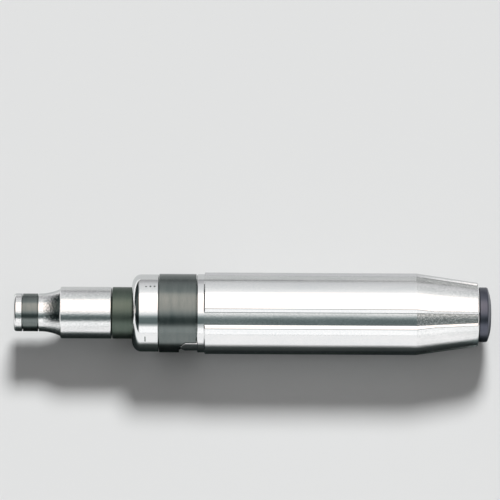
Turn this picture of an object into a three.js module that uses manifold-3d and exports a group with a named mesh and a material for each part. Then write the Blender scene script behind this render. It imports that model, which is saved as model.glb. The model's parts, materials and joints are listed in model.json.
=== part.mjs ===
// Hand impact driver: a struck steel grip that drives a square spindle round through a pair of crown cams.
// Lengths are millimetres and angles are degrees. The tool lies along X, bit end towards -X, on the plane Z = 0.
import * as THREE from "three";
import { mergeVertices } from "three/addons/utils/BufferGeometryUtils.js";
import Module from "manifold-3d";

const wasm = await Module();
wasm.setup();

// Clearances
const faceGap = 0.3; // between faces that meet end to end
const slideGap = 0.2; // radial, where one round piece turns or slides in another
const seatGap = 0.3; // radial, where a pin or ring is seated
const cutOverrun = 1; // how far a cutting shape runs past the face that it opens

// Crown cams, which the diameters of the grip and the nose are built round
const camTeeth = 8;
const plunge = 7; // how far the spindle goes in at a blow
const strikeTurn = 22; // how far it turns over that distance
const camOuterDiameter = 22.2;
const camRoom = 0.3; // radial, between the crowns and the journal
const crownWidth = 4.4; // radial, from a crown's outside in to the spring's bore
const camFlankGap = 0.55; // along the axis
const camTipCut = 0.5;
const camTipGap = 0.3; // left under each tooth when the cams are home
const camBodyLength = 8;
const camFlangeThickness = 4;
const dowelCount = 3;
const dowelDiameter = 3;
const dowelLength = 9.6;
const dowelWall = 1.2; // between a dowel and the spring's bore
const dowelFirstAngle = 30;

// Grip: 32 across its panels with the walls below
const journalWall = 1.9;
const gripWall = 1.8; // under a groove
const panelHeight = 0.7;
const gripRingLength = 2.8;
const panelLength = 82.7;
const panelEndBevel = 0.3;
const coneLength = 24.4;
const coneEdge = 0.4;
const panelCount = 5;
const grooveFloorWidth = 4.9;
const panelBevelWidth = 1.5;
const coneFloorWidth = 3.5; // of a groove's floor at the cone's end
const coneBevelWidth = 0.8;
const coneBevelRun = 7; // along the cone, until its bevels are that narrow
const headHoleDiameter = 12.6;

// Striking head, whose stem clamps the core in the grip
const headDiameter = 21.4;
const headMargin = 1.7; // how far the cone's end stands out round the head
const headLength = 4.7;
const headFlatDiameter = 7;
const headCrown = 1.5; // how far the struck face falls towards its edge
const headEdgeRadius = 0.5;
const headFrontEdge = 0.3;
const headStemLength = 52;
const headStemGrooveWidth = 2.4;
const headStemGrooveDepth = 0.9;
const coreFrontChamfer = 0.6;

// Nose sleeve, which turns in the front of the grip
const noseInset = 0.2; // radial, below the grip's ring
const noseLip = 0.8; // flat ring left round the collar
const noseLength = 10.3;
const noseRoundLength = 3.5;
const noseRearEdge = 0.4;
const journalLength = 14.3; // inside the grip
const noseWallLength = 13; // the thick front wall that carries the spindle

// Selector band
const bandProud = 0.05; // radial, above the grip's ring
const bandLength = 14.5;
const notchDepth = 6.8;
const notchCornerLength = 2.5;
const notchCornerAngle = 12.5;
const tabAngle = 24;
const tabTopAngle = 169.9; // where the tab's upper edge stands round the axis
const tabTopGap = 3.4; // degrees to the notch's upper end
const selectTurn = 44; // from one direction of drive to the other
const keyDiameter = 3;
const keyCover = 0.75; // of the band's metal left over the key
const keyDistance = 7.6; // from the band's front face
const keyAngle = 60;

// Spindle
const collarExposed = 7.7;
const driveSquare = 9.5;
const driveLength = 11.2;
const driveChamfer = 0.8;
const driveCornerCut = 0.75; // taken off the square's diagonal
const flangeThickness = 3.6;
const flangeLedge = 1.1; // radial, how far the flange stands out round the collar
const springPocketFloor = 22; // from the collar's front face

// Return spring and its two washers
const springWire = 1.4;
const springRoom = 0.3; // radial, between the spring and its bores
const springTurns = 10;
const springEndTurns = 1;
const endPitchShare = 1.3; // of the wire, where the turns lie close
const springRearPocket = 8.4; // into the core
const washerThickness = 1;
const washerRing = 3.6; // radial width

// Thrust washer, seal and retaining ring
const thrustWasherThickness = 1.2;
const sealWire = 1.5;
const sealDistance = 4.4; // from the nose's front face
const ringWire = 1.2;
const ringGap = 24; // degrees
const ringDistance = 5; // from the journal's inner end

// Index ball, which clicks into the nose at both ends of its turn
const indexBallDiameter = 2;
const indexInset = 1.35; // of the ball's middle, from the core's outside
const indexAngle = 250;
const indexStandOut = 0.5;
const indexTrackDepth = 0.4;
const indexNotchDepth = 0.6;
const indexSpringLength = 5;
const indexSpringWire = 0.3;
const indexSpringTurns = 6;

// Drive ball, which holds the bit holder on the square
const driveBallDiameter = 3;
const driveBallStandOut = 0.45;
const driveBallDistance = 5.3; // from the collar's front face
const driveBallHole = 7.4;
const driveBallSpringWire = 0.4;
const driveBallSpringTurns = 3;
const ballRampSlope = 0.1; // the ball sinks by this share of the holder's travel
const ballRampGap = 0.1;

// Bit holder
const holderLength = 38.1;
const holderBodyDiameter = 20.2;
const holderNoseInset = 2.7; // radial, below the body
const holderStep = 0.9; // radial, from the flare's end up to the body
const holderNoseLength = 10.2;
const holderFlareLength = 7.9;
const holderShoulder = 0.3;
const holderFrontEdge = 0.9;
const holderRearEdge = 0.5;
const hexSides = 6;
const hexAcrossFlats = 8.15;
const hexDepth = 16;
const hexChamfer = 0.6;
const hexMouthWidening = 1.2; // on the corner radius, as it leaves the face
const squareBoreDepth = 12;
const squareBoreRoom = 0.3; // across the flats
const squareBoreChamfer = 0.5;
const throughHoleDiameter = 5;
const bandGrooveStart = 3;
const bandGrooveWidth = 6.7;
const bandThickness = 0.8;
const bandSideGap = 0.25;
const bandSlit = 1.2;
const bitBallStandIn = 0.42;
const bitBallLip = 0.25; // thickness of the lip that keeps the ball out of the empty socket

// Facets
const roundSteps = 48;
const smallSteps = 24;
const pinSteps = 16;
const ballSteps = 12;
const fineSpringSides = 5;
const camFlankSteps = 4;

const radians = THREE.MathUtils.degToRad;
const degrees = THREE.MathUtils.radToDeg;

// Places along the axis, counted from the bit holder's front face
const holderBack = holderLength;
const collarFront = holderBack + faceGap;
const noseFront = collarFront + collarExposed;
const bandFront = noseFront + noseLength + faceGap;
const bandBack = bandFront + bandLength;
const gripFront = bandBack + faceGap;
const panelFront = gripFront + gripRingLength;
const coneStart = panelFront + panelLength;
const gripBack = coneStart + coneLength;
const headFront = gripBack + faceGap;
const headBack = headFront + headLength;
const noseShoulder = noseFront + noseWallLength;
const thrustWasherFront = noseShoulder + faceGap;
const flangeFront = thrustWasherFront + thrustWasherThickness + faceGap;
const flangeBack = flangeFront + flangeThickness;
const journalBack = gripFront + journalLength;

// Crown cams: a V wave of camRise, its tips cut and its roots filled, in which one plunge is one strikeTurn
const camPitch = 360 / camTeeth;
const camSlope = plunge / strikeTurn;
const camRise = (camSlope * camPitch) / 2;
const camRootFill = camTipCut + camFlankGap - camTipGap;
const toothHeight = camRise - camTipCut - camRootFill;
const spindleTeethRoot = flangeBack;
const spindleTeethTip = spindleTeethRoot + toothHeight;
const camTeethRoot = spindleTeethTip + plunge + camTipGap;
const camTeethTip = camTeethRoot - toothHeight;
const camFlangeFront = Math.max(camTeethRoot + camBodyLength, journalBack + faceGap);
const camFlangeBack = camFlangeFront + camFlangeThickness;
const coreFront = camFlangeBack + faceGap;
const coreBack = coneStart - faceGap;

// Radii, from the cams outwards
const camOuterRadius = camOuterDiameter / 2;
const journalBoreRadius = camOuterRadius + camRoom;
const journalRadius = journalBoreRadius + journalWall;
const gripBoreRadius = journalRadius + slideGap;
const coreRadius = journalRadius;
const grooveFloorRadius = gripBoreRadius + gripWall;
const gripRadius = grooveFloorRadius + panelHeight;
const bandRadius = grooveFloorRadius + bandProud;
const bandBoreRadius = gripBoreRadius;
const noseRadius = grooveFloorRadius - noseInset;
const flangeRadius = journalBoreRadius - slideGap;
const springBoreRadius = camOuterRadius - crownWidth;
const springPocketRadius = springBoreRadius - slideGap;
const springOuterRadius = springPocketRadius - springRoom;
const collarRadius = flangeRadius - flangeLedge;
const noseBoreRadius = collarRadius + slideGap;
const headHoleRadius = headHoleDiameter / 2;
const headStemRadius = headHoleRadius - seatGap;
const coneEndRadius = headDiameter / 2 + headMargin;

// Where the notch ends and how high the axis stands when the tool lies on two panel edges
const notchTop = tabTopAngle - tabTopGap;
const notchBottom = tabTopAngle + tabAngle + selectTurn + tabTopGap;
const grooveHalfFloor = grooveFloorWidth / 2;
const panelEdgeAngle = Math.asin((grooveHalfFloor + panelBevelWidth) / gripRadius);
const axisHeight = gripRadius * Math.cos(panelEdgeAngle);
const firstGrooveAngle = 270;

// Helpers

// A surface of revolution about X from [x, radius] points that start and end on the axis, or close on themselves.
function turned(points, steps = roundSteps) {
  const profile = points.map(([x, r]) => new THREE.Vector2(r, x));
  return new THREE.LatheGeometry(profile, steps).rotateZ(-Math.PI / 2);
}

// Corner points of a ring's section, for turned.
function ringSection(front, back, inner, outer) {
  return [
    [front, inner],
    [front, outer],
    [back, outer],
    [back, inner],
    [front, inner],
  ];
}

// Points of a rounded edge from a face's [x, radius] to the [x, radius] where it runs into the side.
function roundedEdge([faceX, faceRadius], [sideX, sideRadius], steps = 4) {
  return Array.from({ length: steps + 1 }, (_, i) => {
    const t = (i / steps) * (Math.PI / 2);
    return [faceX + (sideX - faceX) * (1 - Math.cos(t)), faceRadius + (sideRadius - faceRadius) * Math.sin(t)];
  });
}

function solidOf(geometry) {
  const bare = geometry.clone();
  bare.deleteAttribute("normal");
  bare.deleteAttribute("uv");
  const merged = mergeVertices(bare, 1e-4);
  return new wasm.Manifold(
    new wasm.Mesh({
      numProp: 3,
      vertProperties: new Float32Array(merged.attributes.position.array),
      triVerts: new Uint32Array(merged.index.array),
    }),
  );
}

function geometryOf(solid) {
  const mesh = solid.getMesh();
  const geometry = new THREE.BufferGeometry();
  geometry.setAttribute("position", new THREE.BufferAttribute(mesh.vertProperties, 3));
  geometry.setIndex(new THREE.BufferAttribute(mesh.triVerts, 1));
  const faceted = geometry.toNonIndexed();
  faceted.computeVertexNormals();
  return faceted;
}

function cut(geometry, ...tools) {
  return geometryOf(tools.reduce((solid, tool) => solid.subtract(solidOf(tool)), solidOf(geometry)));
}

function join(geometry, ...others) {
  return geometryOf(others.reduce((solid, other) => solid.add(solidOf(other)), solidOf(geometry)));
}

// A closed skin through rings of points that have the same count, with flat ends, or joined end to end.
function skinned(rings, closed = false) {
  const count = rings[0].length;
  const points = rings.flat();
  const faces = [];
  const last = closed ? rings.length : rings.length - 1;
  for (let i = 0; i < last; i++) {
    const next = ((i + 1) % rings.length) * count;
    for (let j = 0; j < count; j++) {
      const k = (j + 1) % count;
      faces.push(i * count + j, next + j, next + k, i * count + j, next + k, i * count + k);
    }
  }
  if (!closed) {
    const lastRing = (rings.length - 1) * count;
    const middle = (ring) => ring.reduce((sum, p) => sum.add(p), new THREE.Vector3()).divideScalar(count);
    points.push(middle(rings[0]), middle(rings[rings.length - 1]));
    for (let j = 0; j < count; j++) {
      const k = (j + 1) % count;
      faces.push(points.length - 2, j, k, points.length - 1, lastRing + k, lastRing + j);
    }
  }
  const geometry = new THREE.BufferGeometry().setFromPoints(points);
  geometry.setIndex(faces);
  return geometry.toNonIndexed();
}

// A point at an angle round the X axis, from +Y towards +Z.
function polar(x, radius, angle) {
  return new THREE.Vector3(x, radius * Math.cos(radians(angle)), radius * Math.sin(radians(angle)));
}

// A block bent round the axis, through stations of [angle, front, back], between two radii.
function bentBlock(stations, inner, outer) {
  return skinned(
    stations.map(([angle, front, back]) => [
      polar(front, inner, angle),
      polar(front, outer, angle),
      polar(back, outer, angle),
      polar(back, inner, angle),
    ]),
  );
}

// Even steps from one angle to another, each with the same front and back.
function evenStations(from, to, front, back, steps) {
  return Array.from({ length: steps + 1 }, (_, i) => [from + ((to - from) * i) / steps, front, back]);
}

function cylinderAlongX(front, back, radius, steps = pinSteps) {
  return turned(
    [
      [front, 0],
      [front, radius],
      [back, radius],
      [back, 0],
    ],
    steps,
  );
}

// A round pin whose axis is a radius of the tool.
function radialPin(x, angle, inner, outer, radius, steps = pinSteps) {
  return cylinderAlongX(inner, outer, radius, steps)
    .rotateZ(Math.PI / 2)
    .rotateX(radians(angle))
    .translate(x, 0, 0);
}

function ball(radius) {
  return new THREE.SphereGeometry(radius, ballSteps, ballSteps / 2);
}

// A coil spring along X, with closer turns at both ends.
function coil({ start, length, outerDiameter, wire, turns, endTurns, stepsPerTurn, sides }) {
  const meanRadius = (outerDiameter - wire) / 2;
  const endPitch = wire * endPitchShare;
  const run = length - wire;
  const midPitch = (run - 2 * endTurns * endPitch) / (turns - 2 * endTurns);
  const along = (turn) => {
    const first = Math.min(turn, endTurns) * endPitch;
    const middle = Math.min(Math.max(turn - endTurns, 0), turns - 2 * endTurns) * midPitch;
    return first + middle + Math.max(turn - (turns - endTurns), 0) * endPitch;
  };
  const centre = (turn) => polar(start + wire / 2 + along(turn), meanRadius, turn * 360);
  const small = 1e-3;
  const steps = Math.round(turns * stepsPerTurn);
  const rings = [];
  const centres = [];
  for (let i = 0; i <= steps; i++) {
    const turn = (i / steps) * turns;
    const from = centre(Math.max(turn - small, 0));
    const to = centre(Math.min(turn + small, turns));
    const tangent = to.sub(from).normalize();
    const outward = polar(0, 1, turn * 360);
    const side = tangent.clone().cross(outward).normalize();
    const middle = centre(turn);
    centres.push(middle);
    rings.push(
      Array.from({ length: sides }, (_, j) => {
        const angle = -(j / sides) * 2 * Math.PI;
        return middle
          .clone()
          .addScaledVector(outward, (Math.cos(angle) * wire) / 2)
          .addScaledVector(side, (Math.sin(angle) * wire) / 2);
      }),
    );
  }
  return { geometry: skinned(rings), gap: leastGap(centres, stepsPerTurn / 2) - wire };
}

// The least distance between points of a path that are more than a given number of steps apart.
function leastGap(path, apart) {
  let least = Infinity;
  for (let i = 0; i < path.length; i++)
    for (let j = i + Math.ceil(apart); j < path.length; j++) least = Math.min(least, path[i].distanceTo(path[j]));
  return least;
}

// One toothed ring. Its teeth point along +X from root, or along -X when reversed; phase is a tooth's angle.
function crownRing({ root, back, inner, outer, phase, reversed }) {
  const way = reversed ? -1 : 1;
  const half = camPitch / 2;
  const rootHalf = camRootFill / camSlope;
  const tipHalf = camTipCut / camSlope;
  const flank = (half - rootHalf - tipHalf) / camFlankSteps;
  const offsets = [];
  for (let i = 0; i <= camFlankSteps; i++) offsets.push(tipHalf + i * flank);
  for (let i = 0; i <= camFlankSteps; i++) offsets.push(half + rootHalf + i * flank);
  const rings = [];
  for (let tooth = 0; tooth < camTeeth; tooth++)
    for (const offset of offsets) {
      const fromTip = Math.abs(offset) > half ? camPitch - offset : Math.abs(offset);
      const rise = Math.min(Math.max(camRise - fromTip * camSlope, camRootFill), camRise - camTipCut);
      const x = root + way * (rise - camRootFill);
      const angle = phase + tooth * camPitch + offset;
      const section = [polar(back, inner, angle), polar(back, outer, angle), polar(x, outer, angle)];
      section.push(polar(x, inner, angle));
      rings.push(reversed ? section.reverse() : section);
    }
  return skinned(rings, true);
}

// Materials
const chrome = new THREE.MeshStandardMaterial({ color: "#c9cccf", roughness: 0.12, metalness: 1 });
const blackOxide = new THREE.MeshStandardMaterial({ color: "#3a3d3c", roughness: 0.42, metalness: 0.85 });
const steel = new THREE.MeshStandardMaterial({ color: "#9a9da0", roughness: 0.35, metalness: 1 });
const springSteel = new THREE.MeshStandardMaterial({ color: "#6f7376", roughness: 0.4, metalness: 1 });
const nitrile = new THREE.MeshStandardMaterial({ color: "#1b1c1d", roughness: 0.7, metalness: 0 });

const tool = new THREE.Group();

function add(name, geometry, material) {
  const mesh = new THREE.Mesh(geometry, material);
  mesh.name = name;
  tool.add(mesh);
  return mesh;
}

// Grip: raised panels on a round steel body, tapering to the striking head

function gripSection(x, topRadius, raised, bevelWidth) {
  const floorRadius = topRadius - panelHeight;
  const pitch = 360 / panelCount;
  const coneShare = Math.max(x - coneStart, 0) / coneLength;
  const halfFloor = grooveHalfFloor + ((coneFloorWidth - grooveFloorWidth) / 2) * coneShare;
  const floorHalf = degrees(Math.asin(halfFloor / floorRadius));
  const edgeHalf = degrees(Math.asin((halfFloor + bevelWidth) / topRadius));
  const arcSteps = 6;
  const points = [];
  for (let groove = 0; groove < panelCount; groove++) {
    const middle = firstGrooveAngle + groove * pitch;
    points.push(polar(x, floorRadius, middle - floorHalf));
    points.push(polar(x, floorRadius, middle));
    points.push(polar(x, floorRadius, middle + floorHalf));
    for (let i = 0; i <= arcSteps; i++) {
      const angle = middle + edgeHalf + (i / arcSteps) * (pitch - 2 * edgeHalf);
      points.push(polar(x, raised ? topRadius : floorRadius, angle));
    }
  }
  return points.reverse();
}

function gripBody() {
  const coneRadius = (x) => gripRadius + ((coneEndRadius - gripRadius) * (x - coneStart)) / coneLength;
  const narrowX = coneStart + coneBevelRun;
  const edgeX = gripBack - coneEdge;
  const skin = skinned([
    gripSection(gripFront, gripRadius, false, panelBevelWidth),
    gripSection(panelFront, gripRadius, false, panelBevelWidth),
    gripSection(panelFront + panelEndBevel, gripRadius, true, panelBevelWidth),
    gripSection(coneStart, gripRadius, true, panelBevelWidth),
    gripSection(narrowX, coneRadius(narrowX), true, coneBevelWidth),
    gripSection(edgeX, coneRadius(edgeX), true, coneBevelWidth),
    gripSection(gripBack, coneEndRadius - coneEdge, true, coneBevelWidth),
  ]);
  const ringX = journalBack - ringDistance;
  const ringHalf = ringWire / 2 + seatGap;
  const bore = turned([
    [gripFront - cutOverrun, 0],
    [gripFront - cutOverrun, gripBoreRadius],
    [ringX - ringHalf, gripBoreRadius],
    [ringX - ringHalf, gripBoreRadius + ringHalf],
    [ringX + ringHalf, gripBoreRadius + ringHalf],
    [ringX + ringHalf, gripBoreRadius],
    [coneStart, gripBoreRadius],
    [coneStart, headHoleRadius],
    [gripBack + cutOverrun, headHoleRadius],
    [gripBack + cutOverrun, 0],
  ]);
  const tabFront = bandBack - notchDepth + 2 * faceGap;
  const tabBack = gripFront + gripRingLength / 2;
  const cornerEnd = notchTop + notchCornerAngle;
  const slantAngle = cornerEnd - tabTopAngle;
  const slant = (notchCornerLength * slantAngle) / notchCornerAngle;
  const tabStations = [
    [tabTopAngle, tabFront + slant, tabBack],
    [cornerEnd, tabFront, tabBack],
    [tabTopAngle + tabAngle - slantAngle, tabFront, tabBack],
    [tabTopAngle + tabAngle, tabFront + slant, tabBack],
  ];
  return join(cut(skin, bore), bentBlock(tabStations, gripBoreRadius, grooveFloorRadius - slideGap));
}
add("grip_body", gripBody(), chrome);

// Striking head: a hardened button whose stem screws into the core and clamps the grip
function strikingHead() {
  const radius = headDiameter / 2;
  const stemFront = headFront - headStemLength;
  const grooveFront = coneStart - headStemGrooveWidth;
  const grooveRadius = headStemRadius - headStemGrooveDepth;
  const crownX = headBack - headCrown;
  const flatRadius = headFlatDiameter / 2;
  const crownEnd = radius - headEdgeRadius;
  const crownShares = [0.75, 0.5, 0.25, 0];
  return turned([
    [stemFront, 0],
    [stemFront, grooveRadius],
    [stemFront + headStemGrooveDepth, headStemRadius],
    [grooveFront, headStemRadius],
    [grooveFront, grooveRadius],
    [coneStart, grooveRadius],
    [coneStart, headStemRadius],
    [headFront, headStemRadius],
    [headFront, radius - headFrontEdge],
    [headFront + headFrontEdge, radius],
    ...roundedEdge([crownX, crownEnd], [crownX - headEdgeRadius, radius]).reverse(),
    ...crownShares.map((share) => [headBack - headCrown * share ** 2, flatRadius + (crownEnd - flatRadius) * share]),
    [headBack, 0],
  ]);
}
add("striking_head", strikingHead(), blackOxide);

// Hammer core: the solid weight inside the grip
const dowelCircleRadius = springBoreRadius + dowelWall + dowelDiameter / 2;
function dowelHoles(front, back) {
  return Array.from({ length: dowelCount }, (_, i) => {
    const angle = dowelFirstAngle + (i * 360) / dowelCount;
    const centre = polar(0, dowelCircleRadius, angle);
    return cylinderAlongX(front, back, dowelDiameter / 2 + seatGap).translate(0, centre.y, centre.z);
  });
}
const dowelFront = camFlangeFront + faceGap;
const dowelBack = dowelFront + dowelLength;
const springRearFloor = coreFront + springRearPocket;
const headStemFront = headFront - headStemLength;
const indexRadius = coreRadius - indexInset;
const indexCentre = polar(0, indexRadius, indexAngle);
const indexHoleRadius = indexBallDiameter / 2 + slideGap / 2;
const indexBallX = camFlangeFront - indexStandOut + indexBallDiameter / 2;
const indexSpringFront = indexBallX + indexBallDiameter / 2 + faceGap / 2;
const indexHoleBack = indexSpringFront + indexSpringLength + faceGap;
const indexHole = cylinderAlongX(camFlangeFront - cutOverrun, indexHoleBack, indexHoleRadius).translate(
  0,
  indexCentre.y,
  indexCentre.z,
);

function hammerCore() {
  const body = turned([
    [coreFront, springBoreRadius],
    [coreFront, coreRadius - coreFrontChamfer],
    [coreFront + coreFrontChamfer, coreRadius],
    [coreBack - coreFrontChamfer, coreRadius],
    [coreBack, coreRadius - coreFrontChamfer],
    [coreBack, headHoleRadius],
    [headStemFront - cutOverrun, headHoleRadius],
    [headStemFront - cutOverrun, 0],
    [springRearFloor, 0],
    [springRearFloor, springBoreRadius],
    [coreFront, springBoreRadius],
  ]);
  return cut(body, ...dowelHoles(coreFront - cutOverrun, dowelBack + faceGap), indexHole);
}
add("hammer_core", hammerCore(), steel);

// Hammer cam: the crown of V teeth that turns the spindle
const seatedPhase = 0;
function hammerCam() {
  const crown = crownRing({
    root: camTeethRoot,
    back: camFlangeFront + camFlangeThickness / 2,
    inner: springBoreRadius,
    outer: camOuterRadius,
    phase: seatedPhase + camPitch / 2,
    reversed: true,
  });
  const flange = turned(ringSection(camFlangeFront, camFlangeBack, springBoreRadius, coreRadius));
  return cut(join(crown, flange), ...dowelHoles(dowelFront, camFlangeBack + cutOverrun), indexHole);
}
add("hammer_cam", hammerCam(), steel);

for (let i = 0; i < dowelCount; i++) {
  const centre = polar(0, dowelCircleRadius, dowelFirstAngle + (i * 360) / dowelCount);
  const pin = cylinderAlongX(dowelFront + faceGap, dowelBack, dowelDiameter / 2);
  add(`cam_dowel_${i + 1}`, pin.translate(0, centre.y, centre.z), steel);
}

add("index_ball", ball(indexBallDiameter / 2).translate(indexBallX, indexCentre.y, indexCentre.z), steel);
const indexSpring = coil({
  start: indexSpringFront,
  length: indexSpringLength,
  outerDiameter: indexBallDiameter - slideGap / 2,
  wire: indexSpringWire,
  turns: indexSpringTurns,
  endTurns: 0,
  stepsPerTurn: 8,
  sides: fineSpringSides,
});
add("index_spring", indexSpring.geometry.translate(0, indexCentre.y, indexCentre.z), springSteel);

// Nose sleeve: carries the spindle and turns in the grip between two stops
function noseSleeve() {
  const sealX = noseFront + sealDistance;
  const sealHalf = sealWire / 2 + slideGap;
  const sealFloor = noseBoreRadius + sealWire + slideGap;
  const noseBack = bandFront - faceGap;
  const ringX = journalBack - ringDistance;
  const ringHalf = ringWire / 2 + seatGap;
  const body = turned([
    [noseFront, noseBoreRadius],
    ...roundedEdge([noseFront, collarRadius + noseLip], [noseFront + noseRoundLength, noseRadius], 6),
    [noseBack - noseRearEdge, noseRadius],
    [noseBack, noseRadius - noseRearEdge],
    [noseBack, journalRadius],
    [ringX - ringHalf, journalRadius],
    [ringX - ringHalf, journalRadius - ringHalf],
    [ringX + ringHalf, journalRadius - ringHalf],
    [ringX + ringHalf, journalRadius],
    [journalBack, journalRadius],
    [journalBack, journalBoreRadius],
    [noseShoulder, journalBoreRadius],
    [noseShoulder, noseBoreRadius],
    [sealX + sealHalf, noseBoreRadius],
    [sealX + sealHalf, sealFloor],
    [sealX - sealHalf, sealFloor],
    [sealX - sealHalf, noseBoreRadius],
    [noseFront, noseBoreRadius],
  ]);
  const keyHole = radialPin(
    bandFront + keyDistance,
    keyAngle,
    journalBoreRadius + seatGap,
    journalRadius + cutOverrun,
    keyDiameter / 2 + seatGap,
  );
  return cut(body, keyHole, ...indexTrack());
}

// The arc in the sleeve's inner end that the index ball follows, with a deeper notch at each end
function indexTrack() {
  const margin = degrees(indexBallDiameter / indexRadius);
  const stations = evenStations(
    indexAngle - margin,
    indexAngle + selectTurn + margin,
    journalBack - indexTrackDepth,
    journalBack + cutOverrun,
    8,
  );
  const notch = (angle) => {
    const centre = polar(0, indexRadius, angle);
    const front = journalBack - indexNotchDepth;
    return cylinderAlongX(front, journalBack + cutOverrun, indexBallDiameter / 2).translate(0, centre.y, centre.z);
  };
  const track = bentBlock(stations, journalBoreRadius - cutOverrun, journalRadius + cutOverrun);
  return [track, notch(indexAngle), notch(indexAngle + selectTurn)];
}
add("nose_sleeve", noseSleeve(), chrome);

const sealRadius = noseBoreRadius + slideGap / 2 + sealWire / 2;
function torus(x, radius, wireRadius, gapAngle, gapMiddle, sides) {
  const steps = roundSteps;
  const span = 360 - gapAngle;
  const count = gapAngle ? steps + 1 : steps;
  const rings = Array.from({ length: count }, (_, i) => {
    const angle = gapMiddle + gapAngle / 2 + (i / steps) * span;
    return Array.from({ length: sides }, (_, j) => {
      const around = (j / sides) * 2 * Math.PI;
      return polar(x + wireRadius * Math.sin(around), radius + wireRadius * Math.cos(around), angle);
    });
  });
  return skinned(rings, gapAngle === 0);
}
add("nose_seal", torus(noseFront + sealDistance, sealRadius, sealWire / 2, 0, 0, 8), nitrile);
add(
  "nose_retaining_ring",
  torus(journalBack - ringDistance, gripBoreRadius - slideGap / 2, ringWire / 2, ringGap, firstGrooveAngle, 6),
  springSteel,
);

const thrustWasher = ringSection(
  thrustWasherFront,
  thrustWasherFront + thrustWasherThickness,
  noseBoreRadius,
  journalBoreRadius - slideGap,
);
add("thrust_washer", turned(thrustWasher), steel);

// Selector band: keyed to the nose, with the notch that the grip's tab stops in
function selectorBand() {
  const edge = panelEndBevel;
  const body = turned([
    [bandFront, bandBoreRadius],
    [bandFront, bandRadius - edge],
    [bandFront + edge, bandRadius],
    [bandBack - edge, bandRadius],
    [bandBack, bandRadius - edge],
    [bandBack, bandBoreRadius],
    [bandFront, bandBoreRadius],
  ]);
  const notchFront = bandBack - notchDepth;
  const notchEnd = bandBack + cutOverrun;
  const stations = [
    [notchTop, notchFront + notchCornerLength, notchEnd],
    ...evenStations(notchTop + notchCornerAngle, notchBottom - notchCornerAngle, notchFront, notchEnd, 8),
    [notchBottom, notchFront + notchCornerLength, notchEnd],
  ];
  const notch = bentBlock(stations, bandBoreRadius - cutOverrun, bandRadius + cutOverrun);
  const keyHole = radialPin(
    bandFront + keyDistance,
    keyAngle,
    bandBoreRadius - cutOverrun,
    keyOuter + seatGap,
    keyDiameter / 2 + seatGap,
  );
  return cut(body, notch, keyHole);
}
const keyInner = journalBoreRadius + 2 * seatGap;
const keyOuter = bandRadius - keyCover;
add("selector_band", selectorBand(), blackOxide);
add("selector_key", radialPin(bandFront + keyDistance, keyAngle, keyInner, keyOuter, keyDiameter / 2), steel);

// Spindle: square drive, collar, flange and crown in one forging
const pocketFloor = collarFront + springPocketFloor;
const driveFront = collarFront - driveLength;
const driveBallX = collarFront - driveBallDistance;
const driveBallZ = driveSquare / 2 + driveBallStandOut - driveBallDiameter / 2;
const driveHoleFloor = driveSquare / 2 - driveBallHole;

function squareBar(front, back, acrossFlats, cornerCut, chamfer) {
  const bar = new THREE.BoxGeometry(back - front, acrossFlats, acrossFlats).translate((front + back) / 2, 0, 0);
  const corner = (acrossFlats * Math.SQRT2 - cornerCut) / 2;
  const round = turned([
    [front, 0],
    [front, corner - chamfer],
    [front + chamfer, corner],
    [back, corner],
    [back, 0],
  ]);
  return geometryOf(solidOf(bar).intersect(solidOf(round)));
}

function spindle() {
  const flangeEdge = faceGap;
  const body = turned([
    [collarFront, 0],
    [collarFront, collarRadius - flangeEdge],
    [collarFront + flangeEdge, collarRadius],
    [flangeFront, collarRadius],
    [flangeFront, flangeRadius],
    [flangeBack, flangeRadius],
    [flangeBack, springPocketRadius],
    [pocketFloor, springPocketRadius],
    [pocketFloor, 0],
  ]);
  const square = squareBar(driveFront, collarFront + cutOverrun, driveSquare, driveCornerCut, driveChamfer);
  const crown = crownRing({
    root: spindleTeethRoot,
    back: flangeBack - flangeThickness / 2,
    inner: springPocketRadius,
    outer: camOuterRadius,
    phase: seatedPhase + strikeTurn,
    reversed: false,
  });
  const ballHole = radialPin(driveBallX, 90, driveHoleFloor, driveSquare, driveBallDiameter / 2 + slideGap / 2);
  return cut(join(body, square, crown), ballHole);
}
add("spindle", spindle(), blackOxide);
add("drive_ball", ball(driveBallDiameter / 2).translate(driveBallX, 0, driveBallZ), steel);
const driveBallSpring = coil({
  start: driveHoleFloor + slideGap,
  length: driveBallZ - driveBallDiameter / 2 - driveHoleFloor - 2 * slideGap,
  outerDiameter: driveBallDiameter - slideGap,
  wire: driveBallSpringWire,
  turns: driveBallSpringTurns,
  endTurns: 0,
  stepsPerTurn: 8,
  sides: fineSpringSides,
});
add("drive_ball_spring", driveBallSpring.geometry.rotateY(-Math.PI / 2).translate(driveBallX, 0, 0), springSteel);

// Return spring between its two washers
const washerHoleRadius = springOuterRadius - washerRing;
const frontWasherBack = pocketFloor + faceGap + washerThickness;
const rearWasherFront = springRearFloor - faceGap - washerThickness;
add(
  "spring_washer",
  turned(
    ringSection(pocketFloor + faceGap, frontWasherBack, washerHoleRadius, springOuterRadius),
    smallSteps,
  ),
  steel,
);
add(
  "spring_seat",
  turned(
    ringSection(rearWasherFront, springRearFloor - faceGap, washerHoleRadius, springOuterRadius),
    smallSteps,
  ),
  steel,
);
const returnSpring = coil({
  start: frontWasherBack + faceGap,
  length: rearWasherFront - frontWasherBack - 2 * faceGap,
  outerDiameter: 2 * springOuterRadius,
  wire: springWire,
  turns: springTurns,
  endTurns: springEndTurns,
  stepsPerTurn: 14,
  sides: 6,
});
add("return_spring", returnSpring.geometry, springSteel);

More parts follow.
